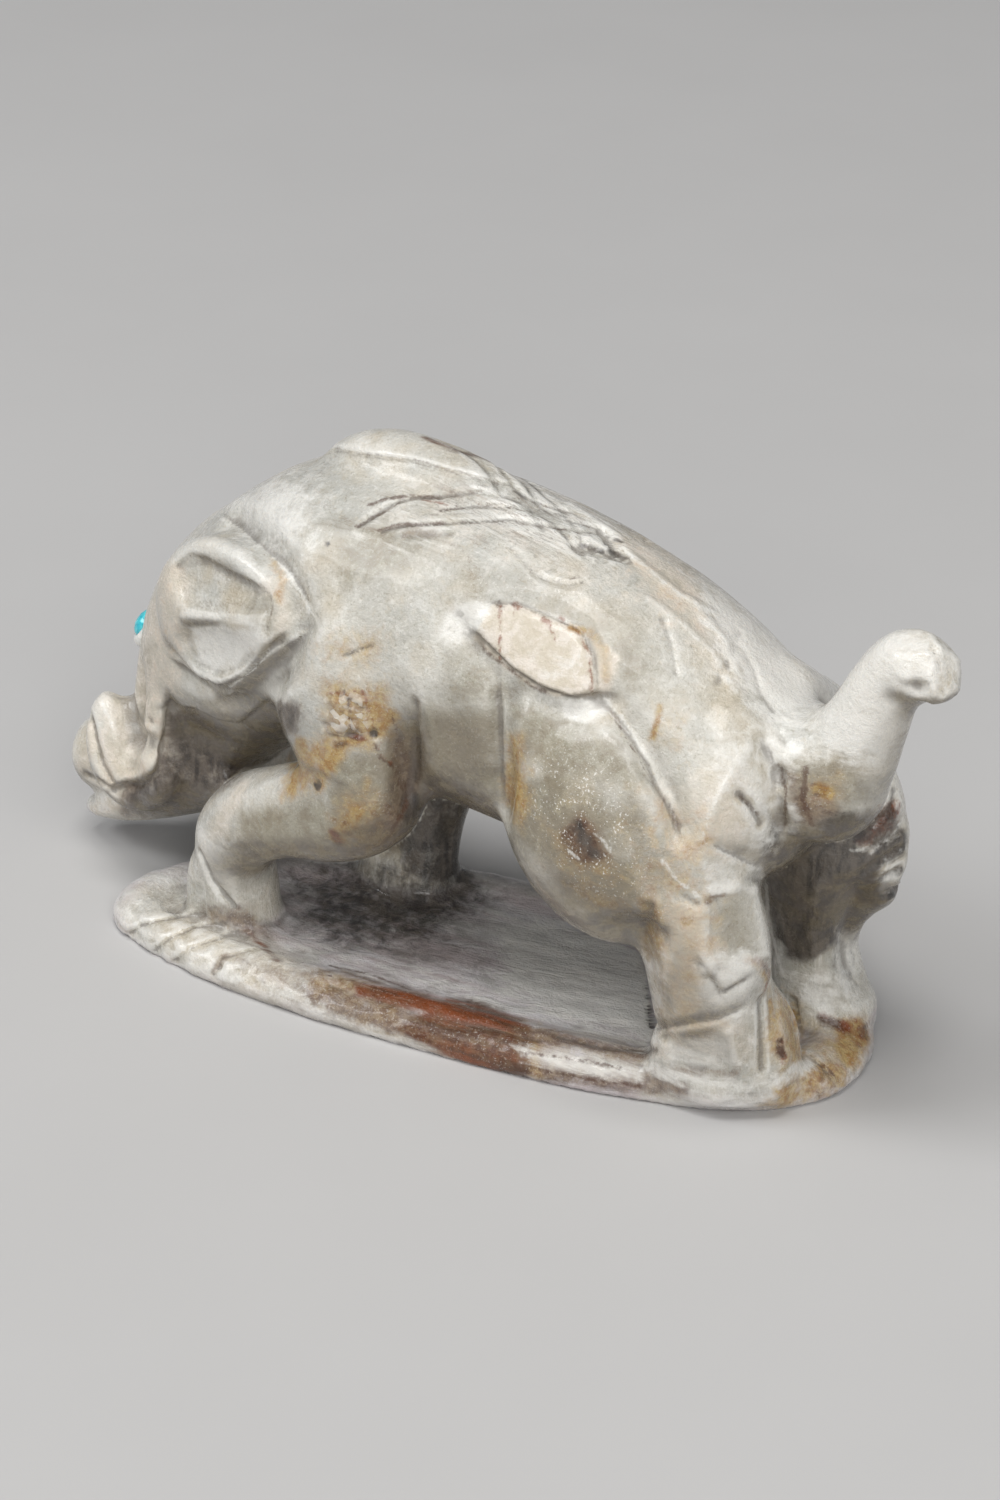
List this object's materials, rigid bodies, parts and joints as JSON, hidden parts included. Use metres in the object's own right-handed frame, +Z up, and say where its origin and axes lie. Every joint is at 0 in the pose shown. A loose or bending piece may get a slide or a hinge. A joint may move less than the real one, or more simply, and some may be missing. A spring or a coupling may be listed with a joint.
{
  "type": "hog fetish carving",
  "caption": "Small stone carving of a hog walking on a low oval plinth, with lowered head, tusks, laid-back ears, raised tail and round inlaid eyes.",
  "frame": {"origin": "on the flat underside of the plinth, below the middle of the trunk and on the hog's mid-line", "axes": "+Z up, -X the way the hog faces, -Y towards its left side"},
  "size_m": [0.0764, 0.0255, 0.0418],
  "materials": {
    "stone": "polished, warm grey to cream with brown veins",
    "turquoise": "polished, blue-green"
  },
  "bodies": {
    "root": {"hog_carving": "stone", "eye_left": "turquoise", "eye_right": "turquoise"}
  },
  "joints": []
}
